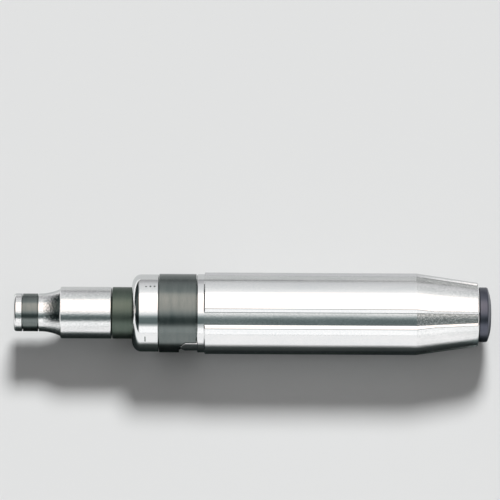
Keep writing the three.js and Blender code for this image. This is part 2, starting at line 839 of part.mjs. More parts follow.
// Bit holder: hexagon socket in front, square socket behind, and a spring band that presses a ball on the bit
const hexRadius = hexAcrossFlats / Math.sqrt(3);
const squareBore = driveSquare + squareBoreRoom;
const holderBodyRadius = holderBodyDiameter / 2;
const holderNoseRadius = holderBodyRadius - holderNoseInset;
const bandInnerRadius = holderNoseRadius - bandThickness;
const bandGrooveRadius = bandInnerRadius - slideGap / 2;
const bitBallX = bandGrooveStart + bandGrooveWidth / 2;
const bitBallBottom = hexAcrossFlats / 2 - bitBallStandIn;
const bitBallRadius = (bandInnerRadius - slideGap / 2 - bitBallBottom) / 2;
const bitBallZ = bitBallBottom + bitBallRadius;
const bitBallLipRadius = Math.sqrt(bitBallRadius ** 2 - (bitBallRadius - bitBallStandIn - bitBallLip) ** 2);

function hexBar(front, back, radius, backRadius = radius) {
  const ringAt = (x, r) => Array.from({ length: hexSides }, (_, i) => polar(x, r, (-i * 360) / hexSides));
  return skinned([ringAt(front, radius), ringAt(back, backRadius)]);
}

// The tapering channel over the drive ball, deepest where the ball rests
function ballRamp() {
  const halfBore = squareBore / 2;
  const halfWidth = driveBallDiameter / 2;
  const top = driveSquare / 2 + driveBallStandOut + ballRampGap;
  const rampEnd = driveBallX + (top - halfBore) / ballRampSlope;
  const outline = [
    [driveBallX - halfWidth, halfBore - halfWidth],
    [driveBallX - halfWidth, halfBore],
    [driveBallX - halfWidth / 2, top],
    [driveBallX, top],
    [rampEnd, halfBore],
    [rampEnd, halfBore - halfWidth],
  ];
  const sideAt = (y) => outline.map(([x, z]) => new THREE.Vector3(x, y, z));
  return skinned([sideAt(halfWidth), sideAt(-halfWidth)]);
}

function bitHolder() {
  const flareEnd = holderNoseLength + holderFlareLength;
  const rise = holderNoseInset - holderStep;
  const flareShares = [0.25, 0.5, 0.75, 1];
  const body = turned([
    [0, 0],
    ...roundedEdge([0, holderNoseRadius - holderFrontEdge], [holderFrontEdge, holderNoseRadius]),
    [bandGrooveStart, holderNoseRadius],
    [bandGrooveStart, bandGrooveRadius],
    [bandGrooveStart + bandGrooveWidth, bandGrooveRadius],
    [bandGrooveStart + bandGrooveWidth, holderNoseRadius],
    [holderNoseLength, holderNoseRadius],
    ...flareShares.map((share) => [holderNoseLength + holderFlareLength * share, holderNoseRadius + rise * share ** 2]),
    [flareEnd, holderBodyRadius - holderShoulder],
    [flareEnd + holderShoulder, holderBodyRadius],
    [holderBack - holderRearEdge, holderBodyRadius],
    [holderBack, holderBodyRadius - holderRearEdge],
    [holderBack, 0],
  ]);
  const squareFront = holderBack - squareBoreDepth;
  const square = new THREE.BoxGeometry(squareBoreDepth + cutOverrun, squareBore, squareBore).translate(
    squareFront + (squareBoreDepth + cutOverrun) / 2,
    0,
    0,
  );
  const mouthRadius = (squareBore / 2 + squareBoreChamfer) * Math.SQRT2;
  const mouth = skinned(
    [
      [holderBack - squareBoreChamfer, mouthRadius - squareBoreChamfer * Math.SQRT2],
      [holderBack + squareBoreChamfer, mouthRadius + squareBoreChamfer * Math.SQRT2],
    ].map(([x, r]) => Array.from({ length: 4 }, (_, i) => polar(x, r, 45 - i * 90))),
  );
  return cut(
    body,
    hexBar(-cutOverrun, hexDepth, hexRadius),
    hexBar(-hexChamfer, hexChamfer, hexRadius + hexMouthWidening, hexRadius),
    cylinderAlongX(hexDepth - cutOverrun, squareFront + cutOverrun, throughHoleDiameter / 2, smallSteps),
    square,
    mouth,
    ballRamp(),
    radialPin(bitBallX, 90, 0, bandGrooveRadius + cutOverrun, bitBallLipRadius + slideGap / 2),
    radialPin(
      bitBallX,
      90,
      hexAcrossFlats / 2 + bitBallLip,
      bandGrooveRadius + cutOverrun,
      bitBallRadius + slideGap / 2,
    ),
  );
}
add("bit_holder", bitHolder(), chrome);

function retainingBand() {
  const half = degrees(Math.asin(bandSlit / 2 / holderNoseRadius));
  const front = bandGrooveStart + bandSideGap;
  const back = bandGrooveStart + bandGrooveWidth - bandSideGap;
  const steps = 30;
  const rings = Array.from({ length: steps + 1 }, (_, i) => {
    const angle = firstGrooveAngle + half + (i / steps) * (360 - 2 * half);
    return ringSection(front, back, bandInnerRadius, holderNoseRadius)
      .slice(0, 4)
      .map(([x, r]) => polar(x, r, angle));
  });
  return skinned(rings);
}
add("bit_retaining_band", retainingBand(), blackOxide);
add("bit_ball", ball(bitBallRadius).translate(bitBallX, 0, bitBallZ), steel);

console.log("least gaps in the springs:", [returnSpring, driveBallSpring, indexSpring].map((s) => s.gap.toFixed(2)));

// The tool's middle stands over the origin, with its two lowest panel edges on the plane
tool.position.set(-headBack / 2, 0, axisHeight);
const part = new THREE.Group();
part.add(tool);

export default part;
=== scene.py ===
import json
import math

import bpy
from mathutils import Matrix, Vector


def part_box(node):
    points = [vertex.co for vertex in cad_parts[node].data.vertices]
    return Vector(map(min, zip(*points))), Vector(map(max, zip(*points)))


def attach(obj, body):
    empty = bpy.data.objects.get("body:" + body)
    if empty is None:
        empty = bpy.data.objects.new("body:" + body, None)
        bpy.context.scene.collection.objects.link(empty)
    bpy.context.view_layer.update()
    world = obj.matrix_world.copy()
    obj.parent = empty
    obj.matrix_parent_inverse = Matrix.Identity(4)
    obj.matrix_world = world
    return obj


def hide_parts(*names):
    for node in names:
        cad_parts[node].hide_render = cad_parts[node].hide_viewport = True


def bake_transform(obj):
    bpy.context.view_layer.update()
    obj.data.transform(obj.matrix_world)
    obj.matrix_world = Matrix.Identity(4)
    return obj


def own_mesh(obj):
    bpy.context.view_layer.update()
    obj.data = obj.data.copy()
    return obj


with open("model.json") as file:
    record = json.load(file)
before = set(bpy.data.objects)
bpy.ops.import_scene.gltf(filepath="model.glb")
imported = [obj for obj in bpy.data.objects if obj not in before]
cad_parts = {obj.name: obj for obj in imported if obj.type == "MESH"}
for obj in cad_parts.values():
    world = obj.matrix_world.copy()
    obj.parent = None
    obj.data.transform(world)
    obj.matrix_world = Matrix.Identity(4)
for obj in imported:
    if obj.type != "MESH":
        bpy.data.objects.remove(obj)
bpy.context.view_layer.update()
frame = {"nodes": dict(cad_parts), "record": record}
nodes = frame["nodes"]
record = frame["record"]
scene = bpy.context.scene
mm = 0.001
axisHeight = 15.5048  # of the tool's axis over the table, in mm as all sizes below
axisPoint = (0, 0, axisHeight * mm)
closeTo = 0.01  # a point this near to a place is taken to be on it
overrun = 1  # how far a cutter reaches past the face it enters by
mergeDistance = 0.002 * mm
turnSteps = 200  # of a turned piece, round the axis
holeSides = 48  # of a drilled hole's round wall
smoothAngle = 30  # faces that meet at less than this are shaded as one
coilSmoothAngle = 65  # the springs' wire has few sides


# Camera: the photograph looks down on the tool from the front
view = {"elevation": 61, "distance": 1.8, "alongTool": -1.15, "aboveAxis": 24.85, "roll": 0.3,
        "sensorWidth": 36, "lens": 331.2, "nearest": 0.05, "farthest": 50}
elevation = math.radians(view["elevation"])
backward = Vector((0, -math.cos(elevation), math.sin(elevation)))
upward = Vector((0, math.sin(elevation), math.cos(elevation)))
target = Vector((view["alongTool"] * mm, 0, axisHeight * mm)) + upward * view["aboveAxis"] * mm
cameraData = bpy.data.cameras.new("camera")
cameraData.sensor_width = view["sensorWidth"]
cameraData.lens = view["lens"]
cameraData.clip_start = view["nearest"]
cameraData.clip_end = view["farthest"]
camera = bpy.data.objects.new("camera", cameraData)
scene.collection.objects.link(camera)
camera.matrix_world = (
    Matrix.Translation(target + backward * view["distance"])
    @ Matrix((Vector((1, 0, 0)), upward, backward)).transposed().to_4x4()
    @ Matrix.Rotation(math.radians(view["roll"]), 4, "Z")
)
scene.camera = camera
print("camera placed")


# Places round the tool's axis: x and radius in mm, angles in degrees from +Y towards +Z
def angleOf(point):
    return math.degrees(math.atan2(point.z - axisHeight * mm, point.y)) % 360


def radiusOf(point):
    return math.hypot(point.y, point.z - axisHeight * mm) / mm


def apart(a, b):
    return abs((a - b + 180) % 360 - 180)


def facesOut(face):
    # not square to the axis
    return abs(face.normal.x) < 0.5


def placeAt(x, radius, angle):
    turned = math.radians(angle)
    return Vector((x * mm, radius * mm * math.cos(turned),
                   (axisHeight + radius * math.sin(turned)) * mm))


# Small helpers for edit mode
def deselectAll():
    if bpy.context.object and bpy.context.object.mode != "OBJECT":
        bpy.ops.object.mode_set(mode="OBJECT")
    bpy.ops.object.select_all(action="DESELECT")


def makeActive(piece):
    deselectAll()
    piece.select_set(True)
    bpy.context.view_layer.objects.active = piece


def selectWhere(piece, kind, test):
    # edit mode on, with just the points, edges or faces that pass the test
    bpy.ops.object.mode_set(mode="EDIT")
    bpy.ops.mesh.select_mode(type=kind)
    bpy.ops.mesh.select_all(action="DESELECT")
    bpy.ops.object.mode_set(mode="OBJECT")
    data = piece.data
    for part in {"VERT": data.vertices, "EDGE": data.edges, "FACE": data.polygons}[kind]:
        part.select = test(part)
    bpy.ops.object.mode_set(mode="EDIT")


def endsOf(piece, edge):
    return [piece.data.vertices[i].co for i in edge.vertices]


def addRing(points, radius, x):
    # a circle of points round the axis
    deselectAll()
    bpy.ops.mesh.primitive_circle_add(
        vertices=points, radius=radius * mm, location=(x * mm, 0, axisHeight * mm),
        rotation=(0, math.pi / 2, 0),
    )
    bpy.ops.object.transform_apply(location=True, rotation=True, scale=True)
    return bpy.context.object


def addArc(points, radius, x, length, middleAngle, reach):
    # a strip of wall round the axis, from x forward, within reach degrees of its middle
    arc = addRing(points, radius, x)
    selectWhere(arc, "VERT", lambda point: apart(angleOf(point.co), middleAngle) > reach)
    bpy.ops.mesh.delete(type="VERT")
    bpy.ops.mesh.select_all(action="SELECT")
    bpy.ops.mesh.extrude_edges_move(TRANSFORM_OT_translate={"value": (-length * mm, 0, 0)})
    bpy.ops.object.mode_set(mode="OBJECT")
    return arc


def slantCorners(arc, before, middleAngle, halfAngle, slantAngle, slant):
    # the ends of an arc's front edge, which lies before this x, move back
    for point in arc.data.vertices:
        if point.co.x / mm < before:
            fromEnd = halfAngle - apart(angleOf(point.co), middleAngle)
            point.co.x += slant * mm * max(0, slantAngle - fromEnd) / slantAngle


def turnPiece(profile, steps=turnSteps, closed=True):
    # a ring of points is put on the profile, [x, radius] in mm, and spun round the axis
    deselectAll()
    bpy.ops.mesh.primitive_circle_add(vertices=len(profile), radius=mm, location=(0, 0, 0))
    piece = bpy.context.object
    for point, (x, radius) in zip(piece.data.vertices, profile):
        point.co = (x * mm, 0, (axisHeight + radius) * mm)
    if not closed:
        ends = {0, len(profile) - 1}
        selectWhere(piece, "EDGE", lambda edge: set(edge.vertices) == ends)
        bpy.ops.mesh.delete(type="EDGE")
    bpy.ops.object.mode_set(mode="EDIT")
    bpy.ops.mesh.select_mode(type="EDGE")
    bpy.ops.mesh.select_all(action="SELECT")
    bpy.ops.mesh.spin(steps=steps, angle=2 * math.pi, center=axisPoint, axis=(1, 0, 0))
    bpy.ops.mesh.select_all(action="SELECT")
    bpy.ops.mesh.remove_doubles(threshold=mergeDistance)
    bpy.ops.mesh.normals_make_consistent(inside=False)
    bpy.ops.object.mode_set(mode="OBJECT")
    return piece


def roundOff(piece, places, width, segments=3):
    # the turned edges at these [x, radius] places get a rounding
    def isThere(edge):
        return any(
            all(abs(end.x / mm - x) < closeTo and abs(radiusOf(end) - radius) < 2 * closeTo
                for end in endsOf(piece, edge))
            for x, radius in places
        )

    selectWhere(piece, "EDGE", isThere)
    bpy.ops.mesh.bevel(offset=width * mm, segments=segments, profile=0.5, affect="EDGES")
    bpy.ops.object.mode_set(mode="OBJECT")


def softenEdges(piece, width, fromAngle):
    # a small rounding on all edges that turn by more than the angle
    makeActive(piece)
    softEdges = piece.modifiers.new("softEdges", "BEVEL")
    softEdges.width = width * mm
    softEdges.segments = 3
    softEdges.limit_method = "ANGLE"
    softEdges.angle_limit = math.radians(fromAngle)
    bpy.ops.object.modifier_apply(modifier=softEdges.name)


def cutAway(piece, cutter, operation="DIFFERENCE"):
    makeActive(cutter)
    bpy.ops.object.transform_apply(location=True, rotation=True, scale=True)
    makeActive(piece)
    cutting = piece.modifiers.new("cut", "BOOLEAN")
    cutting.operation = operation
    cutting.solver = "EXACT"
    cutting.object = cutter
    bpy.ops.object.modifier_apply(modifier=cutting.name)
    bpy.data.objects.remove(cutter)


def drillRadial(piece, x, angle, fromRadius, toRadius, radius):
    # a round hole at right angles to the axis
    deselectAll()
    bpy.ops.mesh.primitive_cylinder_add(
        vertices=holeSides, radius=radius * mm, depth=(toRadius - fromRadius) * mm,
        location=placeAt(x, (fromRadius + toRadius) / 2, angle),
        rotation=(math.radians(angle - 90), 0, 0),
    )
    cutAway(piece, bpy.context.object)


def finishPiece(piece, name, body, replaced, look, smooth=smoothAngle):
    bpy.ops.object.mode_set(mode="OBJECT")
    makeActive(piece)
    bpy.ops.object.transform_apply(location=True, rotation=True, scale=True)
    bpy.ops.object.shade_smooth_by_angle(angle=math.radians(smooth))
    # so that the shading of the roundings doesn't smear over the large faces
    evenShade = piece.modifiers.new("evenShade", "WEIGHTED_NORMAL")
    evenShade.keep_sharp = True
    bpy.ops.object.modifier_apply(modifier=evenShade.name)
    piece.name = name
    piece.data.name = name
    piece.data.materials.clear()
    piece.data.materials.append(look)
    if body:
        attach(piece, body)
    if replaced:
        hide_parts(*replaced)
    print("made", name, len(piece.data.polygons), "faces")
    return piece


# Colours are written in sRGB, as they are read off the photograph
def toLinear(code):
    parts = [int(code[i:i + 2], 16) / 255 for i in (1, 3, 5)]
    return [c / 12.92 if c <= 0.04045 else ((c + 0.055) / 1.055) ** 2.4 for c in parts] + [1]


def addNode(tree, kind, inputs=None, stops=None, **settings):
    # stops are a colour ramp's, each a place from 0 to 1 and a linear colour
    node = tree.nodes.new("ShaderNode" + kind)
    for name, value in settings.items():
        setattr(node, name, value)
    for name, value in (inputs or {}).items():
        if isinstance(value, bpy.types.NodeSocket):
            tree.links.new(value, node.inputs[name])
        else:
            node.inputs[name].default_value = value
    if stops:
        elements = node.color_ramp.elements
        for element, (place, colour) in ((elements[0], stops[0]), (elements[1], stops[-1])):
            element.position = place
            element.color = colour
        for place, colour in stops[1:-1]:
            elements.new(place).color = colour
    return node


def scaleFor(width):
    # a pattern's scale, from the width of its spots in mm
    return 1 / (width * mm)


def newLook(name):
    look = bpy.data.materials.new(name)
    look.use_nodes = True
    tree = look.node_tree
    return look, tree, tree.nodes["Principled BSDF"]


# Bright chrome over forged steel, polished on the nose and the long panels, satin in the grooves
# and on the taper, tumbled on the holder and left as forged on its flare: long soft waves bend the
# reflections, faint polishing lines run along the tool, a fine pitting breaks up the reflections'
# edges and thin smudges dull the shine in places
chromeFinishes = {
    "polishedChrome": {"pits": 0.2, "dullest": 0.12, "brightest": 0.07, "dark": "#eceeef"},
    "satinChrome": {"pits": 0.5, "dullest": 0.2, "brightest": 0.12, "dark": "#dfe1e1"},
    "tumbledChrome": {"pits": 2, "dullest": 0.2, "brightest": 0.12, "dark": "#dcdede"},
    "forgedChrome": {"pits": 5, "dullest": 0.22, "brightest": 0.14, "dark": "#c6caca"},
}
chromeLooks = {}
for name, finish in chromeFinishes.items():
    chromeLooks[name], tree, shader = newLook(name)
    place = addNode(tree, "TexCoord").outputs["Object"]
    long = addNode(tree, "Mapping", {"Vector": place, "Scale": (0.15, 1, 1)})
    waves = addNode(tree, "TexNoise", {"Vector": long.outputs[0], "Scale": scaleFor(7.7),
                                       "Detail": 1})
    along = addNode(tree, "Mapping", {"Vector": place, "Scale": (0.04, 1, 1)})
    polish = addNode(tree, "TexNoise", {"Vector": along.outputs[0], "Scale": scaleFor(0.385),
                                        "Detail": 4})
    # pits of 0.7 mm, coarser than the real ones so that they show
    pitting = addNode(tree, "TexNoise", {"Vector": place, "Scale": scaleFor(0.714),
                                         "Detail": 3, "Roughness": 0.6})
    smudge = addNode(tree, "TexNoise", {"Vector": long.outputs[0], "Scale": scaleFor(4.76),
                                        "Detail": 6, "Roughness": 0.6})
    lines = addNode(tree, "Math", {0: polish.outputs["Fac"], 1: 0.07, 2: waves.outputs["Fac"]},
                    operation="MULTIPLY_ADD")
    height = addNode(tree, "Math", {0: pitting.outputs["Fac"], 1: finish["pits"],
                                    2: lines.outputs[0]}, operation="MULTIPLY_ADD")
    bump = addNode(tree, "Bump", {"Height": height.outputs[0], "Strength": 1,
                                  "Distance": 0.02 * mm})
    tree.links.new(bump.outputs[0], shader.inputs["Normal"])
    rough = addNode(tree, "MapRange", {
        "Value": smudge.outputs["Fac"], "From Min": 0.35, "From Max": 0.7,
        "To Min": finish["brightest"], "To Max": finish["dullest"]})
    tree.links.new(rough.outputs[0], shader.inputs["Roughness"])
    grain = addNode(tree, "Math", {0: pitting.outputs["Fac"], 1: smudge.outputs["Fac"]},
                    operation="ADD")
    grain = addNode(tree, "MapRange", {"Value": grain.outputs[0], "From Min": 0.75,
                                       "From Max": 1.2})
    tone = addNode(tree, "ValToRGB", {"Fac": grain.outputs[0]},
                   stops=[(0, toLinear(finish["dark"])), (1, toLinear("#f6f6f6"))])
    tree.links.new(tone.outputs[0], shader.inputs["Base Color"])
    shader.inputs["Metallic"].default_value = 1

# The same plate over an unpolished forged groove: a pitted skin that scatters the light
chromeOverForging, tree, shader = newLook("chromeOverForging")
place = addNode(tree, "TexCoord").outputs["Object"]
pits = addNode(tree, "TexNoise", {"Vector": place, "Scale": scaleFor(0.714),
                                  "Detail": 5, "Roughness": 0.65})
bump = addNode(tree, "Bump", {"Height": pits.outputs["Fac"], "Strength": 1,
                              "Distance": 0.08 * mm})
tree.links.new(bump.outputs[0], shader.inputs["Normal"])
tone = addNode(tree, "ValToRGB", {"Fac": pits.outputs["Fac"]},
               stops=[(0.3, toLinear("#a6a9a8")), (0.7, toLinear("#ededec"))])
tree.links.new(tone.outputs[0], shader.inputs["Base Color"])
shader.inputs["Metallic"].default_value = 1
shader.inputs["Roughness"].default_value = 0.26

# Black oxide on turned steel: a dark metal with a soft grey-green sheen, fine rings from the lathe
# and streaks of oil. The bands are finely turned, the spindle's collar is matt, and the hardened
# head is nearly blue-black
oxideFinishes = {
    "satinBlackOxide": {"low": "#697170", "high": "#7a807e", "dullest": 0.24, "brightest": 0.15},
    "mattBlackOxide": {"low": "#5a665d", "high": "#68726a", "dullest": 0.44, "brightest": 0.34},
    "blueBlackOxide": {"low": "#555864", "high": "#646670", "dullest": 0.36, "brightest": 0.26},
}
oxideLooks = {}
for name, finish in oxideFinishes.items():
    oxideLooks[name], tree, shader = newLook(name)
    place = addNode(tree, "TexCoord").outputs["Object"]
    rings = addNode(tree, "Mapping", {"Vector": place, "Scale": (1, 0.02, 0.02)})
    lathe = addNode(tree, "TexNoise", {"Vector": rings.outputs[0], "Scale": scaleFor(0.1923),
                                       "Detail": 3})
    streaks = addNode(tree, "Mapping", {"Vector": place, "Scale": (1, 0.2, 0.2)})
    oil = addNode(tree, "TexNoise", {"Vector": streaks.outputs[0], "Scale": scaleFor(2.38),
                                     "Detail": 7, "Roughness": 0.65})
    bump = addNode(tree, "Bump", {"Height": lathe.outputs["Fac"], "Strength": 1,
                                  "Distance": 0.0025 * mm})
    tree.links.new(bump.outputs[0], shader.inputs["Normal"])
    tone = addNode(tree, "ValToRGB", {"Fac": oil.outputs["Fac"]},
                   stops=[(0.3, toLinear(finish["low"])), (0.7, toLinear(finish["high"]))])
    tree.links.new(tone.outputs[0], shader.inputs["Base Color"])
    rough = addNode(tree, "MapRange", {
        "Value": oil.outputs["Fac"], "From Min": 0.3, "From Max": 0.7,
        "To Min": finish["brightest"], "To Max": finish["dullest"]})
    tree.links.new(rough.outputs[0], shader.inputs["Roughness"])
    shader.inputs["Metallic"].default_value = 1

# Hardened steel as it comes from grinding, with fine rings and a few heat-tinted clouds
groundSteel, tree, shader = newLook("groundSteel")
place = addNode(tree, "TexCoord").outputs["Object"]
rings = addNode(tree, "Mapping", {"Vector": place, "Scale": (1, 0.05, 0.05)})
grind = addNode(tree, "TexNoise", {"Vector": rings.outputs[0], "Scale": scaleFor(0.238),
                                   "Detail": 4})
cloud = addNode(tree, "TexNoise", {"Vector": place, "Scale": scaleFor(5), "Detail": 5})
bump = addNode(tree, "Bump", {"Height": grind.outputs["Fac"], "Strength": 1,
                              "Distance": 0.008 * mm})
tree.links.new(bump.outputs[0], shader.inputs["Normal"])
tone = addNode(tree, "ValToRGB", {"Fac": cloud.outputs["Fac"]},
               stops=[(0, toLinear("#8f9193")), (1, toLinear("#b4b5b4"))])
tree.links.new(tone.outputs[0], shader.inputs["Base Color"])
rough = addNode(tree, "MapRange", {"Value": grind.outputs["Fac"], "To Min": 0.2, "To Max": 0.36})
tree.links.new(rough.outputs[0], shader.inputs["Roughness"])
shader.inputs["Metallic"].default_value = 1

# Drawn spring wire, oil-tempered to a dark blue-brown
springWire, tree, shader = newLook("springWire")
place = addNode(tree, "TexCoord").outputs["Object"]
cloud = addNode(tree, "TexNoise", {"Vector": place, "Scale": scaleFor(1.43), "Detail": 5})
tone = addNode(tree, "ValToRGB", {"Fac": cloud.outputs["Fac"]},
               stops=[(0, toLinear("#4b4d55")), (1, toLinear("#7d7468"))])
tree.links.new(tone.outputs[0], shader.inputs["Base Color"])
bump = addNode(tree, "Bump", {"Height": cloud.outputs["Fac"], "Strength": 1,
                              "Distance": 0.01 * mm})
tree.links.new(bump.outputs[0], shader.inputs["Normal"])
rough = addNode(tree, "MapRange", {"Value": cloud.outputs["Fac"], "To Min": 0.25,
                                   "To Max": 0.45})
tree.links.new(rough.outputs[0], shader.inputs["Roughness"])
shader.inputs["Metallic"].default_value = 1

# Moulded nitrile with a fine matt grain and a dusty bloom
mouldedNitrile, tree, shader = newLook("mouldedNitrile")
place = addNode(tree, "TexCoord").outputs["Object"]
grain = addNode(tree, "TexNoise", {"Vector": place, "Scale": scaleFor(0.286), "Detail": 4})
tone = addNode(tree, "ValToRGB", {"Fac": grain.outputs["Fac"]},
               stops=[(0, toLinear("#141516")), (1, toLinear("#2a2b2c"))])
tree.links.new(tone.outputs[0], shader.inputs["Base Color"])
bump = addNode(tree, "Bump", {"Height": grain.outputs["Fac"], "Strength": 0.6,
                              "Distance": 0.03 * mm})
tree.links.new(bump.outputs[0], shader.inputs["Normal"])
rough = addNode(tree, "MapRange", {"Value": grain.outputs["Fac"], "To Min": 0.55,
                                   "To Max": 0.75})
tree.links.new(rough.outputs[0], shader.inputs["Roughness"])
print("materials made")


# Grip: a drawn shell with five raised panels and a tapered end. Points counts the ring's points,
# floorPoints and bevelPoints those from a groove's middle to its floor's edge and its panel's
grip = {
    "front": -21.7, "ringEdge": 0.3, "panelFront": -18.9, "panelEdge": 0.3, "coneStart": 63.8,
    "coneNarrow": 70.8, "back": 88.2, "backEdge": 0.4, "radius": 16.0, "coneRadius": 12.4,
    "coneSkin": 11, "satinFrom": 63.3, "panelHeight": 0.7, "halfFloor": 2.45, "coneHalfFloor": 1.75,
    "bevelWidth": 1.5, "coneBevelWidth": 0.8, "bore": 13.5, "headHole": 6.3, "holeEdge": 0.3,
    "softEdge": 0.16, "softFrom": 14, "panels": 5, "firstGroove": 270, "floorReach": 9.6,
    "points": 160, "floorPoints": 4, "bevelPoints": 6,
}
pointStep = 360 / grip["points"]
halfPanel = 180 / grip["panels"]
panelPoints = round(halfPanel / pointStep) - grip["bevelPoints"]
grooveMiddles = [grip["firstGroove"] + i * 2 * halfPanel for i in range(grip["panels"])]


def fromGroove(point):
    # signed degrees from the nearest groove's middle
    return min(((angleOf(point) - m + 180) % 360 - 180 for m in grooveMiddles), key=abs)


gripShell = addRing(grip["points"], grip["radius"] - grip["panelHeight"] - grip["ringEdge"],
                    grip["front"])
# the point between a groove's floor and its panel goes, so that the bevel between is one flat face
spareAngle = (grip["floorPoints"] + 1) * pointStep
selectWhere(gripShell, "VERT",
            lambda point: abs(abs(fromGroove(point.co)) - spareAngle) < pointStep / 4)
bpy.ops.mesh.dissolve_verts()
bpy.ops.object.mode_set(mode="OBJECT")
# each point's groove, and its steps from the groove's middle
gripRanks = []
for point in gripShell.data.vertices:
    middle = min(grooveMiddles, key=lambda m: apart(angleOf(point.co), m))
    gripRanks.append((middle, round(fromGroove(point.co) / pointStep)))


def shapeSection(x, top, raised, coneShare, bevelWidth):
    # the last section's points are put at their radius and angle
    floorRadius = top - grip["panelHeight"]
    half = grip["halfFloor"] + (grip["coneHalfFloor"] - grip["halfFloor"]) * coneShare
    floorEdge = math.degrees(math.asin(half / floorRadius))
    panelEdge = math.degrees(math.asin((half + bevelWidth) / top))
    bpy.ops.object.mode_set(mode="OBJECT")
    for point in gripShell.data.vertices:
        if not point.select:
            continue
        middle, step = gripRanks[point.index % len(gripRanks)]
        if abs(step) <= grip["floorPoints"]:
            angle = middle + floorEdge * step / grip["floorPoints"]
            radius = floorRadius
        else:
            share = (abs(step) - grip["bevelPoints"]) / panelPoints
            angle = middle + math.copysign(panelEdge + (halfPanel - panelEdge) * share, step)
            radius = top if raised else floorRadius
        point.co = placeAt(x, radius, angle)
    bpy.ops.object.mode_set(mode="EDIT")


top, bevelWidth = grip["radius"], grip["bevelWidth"]
sections = [
    (grip["front"] + grip["ringEdge"], top, False, 0, bevelWidth),
    (grip["panelFront"], top, False, 0, bevelWidth),
    (grip["panelFront"] + grip["panelEdge"], top, True, 0, bevelWidth),
    (grip["coneStart"], top, True, 0, bevelWidth),
]
for x in (grip["coneNarrow"], grip["back"] - grip["backEdge"]):
    share = (x - grip["coneStart"]) / (grip["back"] - grip["coneStart"])
    coneTop = top + (grip["coneRadius"] - top) * share
    sections.append((x, coneTop, True, share, grip["coneBevelWidth"]))
sections.append((grip["back"], grip["coneRadius"] - grip["backEdge"], True, 1,
                 grip["coneBevelWidth"]))
selectWhere(gripShell, "VERT", lambda point: True)
for section in sections:
    bpy.ops.mesh.extrude_edges_move(TRANSFORM_OT_translate={"value": (mm, 0, 0)})
    shapeSection(*section)
# the bore, from the back's hole forward to the front ring
selectWhere(gripShell, "VERT", lambda point: abs(point.co.x / mm - grip["back"]) < closeTo)
for x, radius in (
    (grip["back"], grip["headHole"] + grip["holeEdge"]),
    (grip["back"] - grip["holeEdge"], grip["headHole"]),
    (grip["coneStart"], grip["headHole"]),
    (grip["coneStart"], grip["bore"]),
    (grip["front"] + grip["ringEdge"], grip["bore"]),
):
    bpy.ops.mesh.extrude_edges_move(TRANSFORM_OT_translate={"value": (0, 0, 0)})
    bpy.ops.object.mode_set(mode="OBJECT")
    for point in gripShell.data.vertices:
        if point.select:
            point.co = placeAt(x, radius, angleOf(point.co))
    bpy.ops.object.mode_set(mode="EDIT")


def isFrontRing(point):
    behind = point.co.x / mm - grip["front"]
    inBore = radiusOf(point.co) < (grip["bore"] + top) / 2
    return abs(behind) < closeTo or (abs(behind - grip["ringEdge"]) < closeTo and inBore)


selectWhere(gripShell, "VERT", isFrontRing)
bpy.ops.mesh.select_mode(type="EDGE")
bpy.ops.mesh.bridge_edge_loops()
bpy.ops.mesh.select_all(action="SELECT")
bpy.ops.mesh.normals_make_consistent(inside=False)
softenEdges(gripShell, grip["softEdge"], grip["softFrom"])
finishPiece(gripShell, "gripShell", "grip", ["grip_body"],
            chromeLooks["polishedChrome"])
gripShell.data.materials.append(chromeOverForging)
gripShell.data.materials.append(chromeLooks["satinChrome"])
for face in gripShell.data.polygons:
    x, radius = face.center.x / mm, radiusOf(face.center)
    onFloor = (abs(fromGroove(face.center)) < grip["floorReach"] and radius > grip["coneSkin"]
               and facesOut(face))
    if x > grip["satinFrom"]:
        face.material_index = 1 if onFloor else 2
    elif onFloor and x > grip["panelFront"]:
        face.material_index = 2

# Stop tab, which reaches into the selector band's notch
tab = {"front": -28.2, "back": -20.6, "top": 169.9, "width": 24, "margin": 0.4, "outer": 15.1,
       "inner": 13.5, "slantAngle": 9.1, "slant": 1.82, "edge": 0.2, "softFrom": 30,
       "points": 240}
halfAngle = tab["width"] / 2
middleAngle = tab["top"] + halfAngle
stopTab = addArc(tab["points"], tab["outer"], tab["back"], tab["back"] - tab["front"],
                 middleAngle, halfAngle + tab["margin"])
slantCorners(stopTab, (tab["front"] + tab["back"]) / 2, middleAngle, halfAngle,
             tab["slantAngle"], tab["slant"])
makeActive(stopTab)
bpy.ops.object.mode_set(mode="EDIT")
bpy.ops.mesh.select_all(action="SELECT")
bpy.ops.mesh.normals_make_consistent(inside=False)
bpy.ops.object.mode_set(mode="OBJECT")
face = stopTab.data.polygons[0]
outward = face.normal.dot(face.center - Vector(axisPoint)) > 0
thick = stopTab.modifiers.new("thick", "SOLIDIFY")
thick.thickness = (tab["outer"] - tab["inner"]) * mm
thick.offset = -1 if outward else 1
bpy.ops.object.modifier_apply(modifier=thick.name)
softenEdges(stopTab, tab["edge"], tab["softFrom"])
finishPiece(stopTab, "stopTab", "grip", [], chromeLooks["polishedChrome"])

